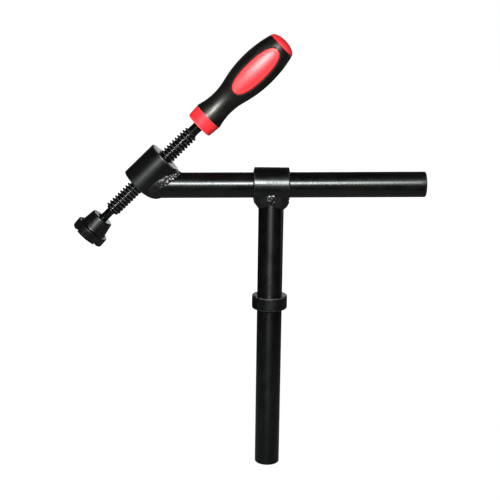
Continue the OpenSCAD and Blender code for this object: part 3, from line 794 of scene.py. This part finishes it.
addPiece("gripCover", [coverHalf(1), coverHalf(-1)], screwFrame, "screw", softBlack(),
         "grip_cover", sharpAngle=50)
ringEnd = grip["coverStart"] - grip["ringGap"]
line, wearAndPaintedLight = outline([
    (0, grip["ringStart"], 0),
    (screw["stemRadius"] + grip["ringBore"], grip["ringStart"], 0),
    (grip["ringLow"], grip["ringStart"], grip["ringCorner"]),
    (grip["ringTop"], ringEnd, grip["ringEdge"]),
    (grip["ringTop"] - grip["wall"], ringEnd, 0),
    (0, grip["coverStart"] + grip["ringInside"], 0),
])
line, wearAndPaintedLight = denser(line, wearAndPaintedLight, grip["ringStep"])
bend = np.linspace(0, quarter, grip["domeRows"])[1:]
domeRadius = float(gripRadius(np.array(grip["coverEnd"]))) - grip["domeInset"]
domeLine = np.vstack([
    [0, grip["coverEnd"] - grip["wall"]],
    [domeRadius - grip["wall"], grip["coverEnd"] - grip["wall"]],
    [domeRadius - grip["domeFoot"][0], grip["coverEnd"] + grip["domeFoot"][1]],
    np.stack([domeRadius * np.cos(bend), grip["coverEnd"] + grip["dome"] * np.sin(bend)], 1),
])
domeLine[-1, 0] = 0
addPiece("gripEnds", [turned(line, wearAndPaintedLight), turned(domeLine)], screwFrame, "screw",
         redMoulding("redPlastic", redLook["endsIor"]), "grip_core", sharpAngle=50)
addPiece("gripWindows", [windowPanel(1), windowPanel(-1)], screwFrame, "screw",
         redMoulding("redWindow", redLook["windowIor"]), "grip_core", sharpAngle=50)
print("stage: grip made")

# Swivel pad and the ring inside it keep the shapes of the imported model
padLook = dict(blackLook, dark=(0.0008, 0.0008, 0.0007, 1), pale=(0.0045, 0.0045, 0.0036, 1),
               rust=(0.011, 0.01, 0.007, 1), rough=(0.26, 0.44), ior=1.6, grain=0.008 * mm, dent=0.02 * mm)
wireLook = {"deep": (0.3, 0.3, 0.31, 1), "bright": (0.5, 0.5, 0.5, 1), "marks": (1, 900, 3, 0.55),
            "marked": (0.35, 0.65), "rough": 0.3, "roughMarks": 0.15}


def springWire():
    m = Finish("springWire", Metallic=1.0)
    marks = m.noise(wireLook["marks"])
    colour = m.blend(marks.within(*wireLook["marked"]), wireLook["deep"], wireLook["bright"])
    return m.set(Base_Color=colour, Roughness=wireLook["rough"] + wireLook["roughMarks"] * marks)


frame["nodes"]["swivel_pad"].data.materials[0] = blackSteel("padMatt", padLook, screwTurn)
frame["nodes"]["snap_ring"].data.materials[0] = springWire()

# Floor, light and camera
white = (1, 1, 1, 1)
black = (0, 0, 0, 1)
studio = {
    "floorSize": 9.0, "floorTone": 0.17, "paleTone": (0.8, 0.8, 0.8, 1), "fade": 0.85,
    "fadeAway": (0.22, 0.55), "glow": 1.1, "nearShare": 0.86, "glowAway": (0.3, 0.9), "ambient": 0.012,
    "mirrored": 0.01,
}
softboxes = {
    "keyBox": {"place": (-0.08, -1.25, 0.68), "aim": (-0.03, 0, 0.13), "size": (0.44, 0.26), "power": 24.5,
               "shine": True},
    "fill": {"place": (-0.45, -1.0, -0.05), "aim": (-0.03, 0, 0.13), "size": (0.8, 0.5), "power": 7.0,
             "shine": False},
    "sideCard": {"place": (0.95, 0.5, 0.0), "aim": (0, 0, 0), "size": (0.5, 0.9), "power": 0.5,
                 "shine": True},
    "backdrop": {"place": (0, 2.6, 0.7), "aim": (0, 0, 0.2), "size": (4.4, 2.2), "power": 3.0,
                 "shine": True},
    "backFill": {"place": (0.3, 1.3, 0.4), "aim": (0, 0, 0.1), "size": (0.8, 0.5), "power": 9.0,
                 "shine": False},
    "faceCard": {"place": (0.104, 1.6, 0.294), "aim": (-0.115, 0, 0.168), "size": (0.3, 0.22), "power": 0.75,
                 "shine": True},
}


def whiteShare(m, share):
    # how much of the white ground a ray meets. Black steel mirrors only a little of it, as in the photo.
    seen = m.ray("Is Camera Ray") + m.ray("Is Transmission Ray")
    return seen * share + m.ray("Is Glossy Ray") * studio["mirrored"]


def stagePlane():
    # the floor glows white for the camera but for a share that holds the shadow. The light that it
    # throws back fades away from the post.
    size, level = studio["floorSize"], postLow.z
    mesh = bpy.data.meshes.new("studioFloor")
    mesh.from_pydata([(-size, -size, level), (size, -size, level), (size, size, level), (-size, size, level)],
                     [], [(0, 1, 2, 3)])
    floor = bpy.data.objects.new("studioFloor", mesh)
    bpy.context.scene.collection.objects.link(floor)
    paper = bpy.data.materials.new("studioPaper")
    m = Maker(paper, "ShaderNodeOutputMaterial")
    away = m.node("ShaderNodeVectorMath", {"operation": "LENGTH"}, {0: m.spot(0, (1, 1, 0))}, 1)
    table = studio["floorTone"] * (1 - away.within(*studio["fadeAway"]) * studio["fade"])
    tone = m.blend(m.ray("Is Camera Ray"), m.blend(table, black, white), studio["paleTone"])
    matt = m.node("ShaderNodeBsdfDiffuse", {}, {"Color": tone})
    glow = m.node("ShaderNodeEmission", {}, {"Color": white, "Strength": studio["glow"]})
    share = studio["nearShare"] + (1 - studio["nearShare"]) * away.within(*studio["glowAway"])
    m.mixShaders(whiteShare(m, share), matt, glow)
    mesh.materials.append(paper)


def studioWorld():
    world = bpy.data.worlds.new("studioWorld")
    bpy.context.scene.world = world
    m = Maker(world, "ShaderNodeOutputWorld")
    soft = m.node("ShaderNodeBackground", {}, {"Color": white, "Strength": studio["ambient"]})
    pure = m.node("ShaderNodeBackground", {}, {"Color": white, "Strength": 1.0})
    m.mixShaders(whiteShare(m, 1), soft, pure)


def softbox(name, look):
    light = bpy.data.lights.new(name, "AREA")
    light.shape = "RECTANGLE"
    light.size, light.size_y = look["size"]
    light.energy = look["power"]
    lamp = bpy.data.objects.new(name, light)
    bpy.context.scene.collection.objects.link(lamp)
    lamp.location = look["place"]
    toward = Vector(look["aim"]) - Vector(look["place"])
    lamp.rotation_euler = toward.to_track_quat("-Z", "Y").to_euler()
    lamp.visible_camera = False
    lamp.visible_glossy = look["shine"]


stagePlane()
studioWorld()
for boxName, boxLook in softboxes.items():
    softbox(boxName, boxLook)

# The camera looks down at the clamp. Its picture is level with the canted arm, and so the post leans.
camera = {"place": (-0.0266, -1.086, 0.3147), "turn": (77.1006, -0.7126, -0.0447), "lens": 72.0,
          "sensor": 36.0, "near": 0.05, "far": 50}
lens = bpy.data.cameras.new("productCamera")
lens.lens = camera["lens"]
lens.sensor_width = camera["sensor"]
lens.clip_start = camera["near"]
lens.clip_end = camera["far"]
viewer = bpy.data.objects.new("productCamera", lens)
bpy.context.scene.collection.objects.link(viewer)
viewer.location = camera["place"]
viewer.rotation_euler = [math.radians(angle) for angle in camera["turn"]]
bpy.context.scene.camera = viewer
bpy.context.scene.view_settings.view_transform = "Standard"
print("stage: studio made")
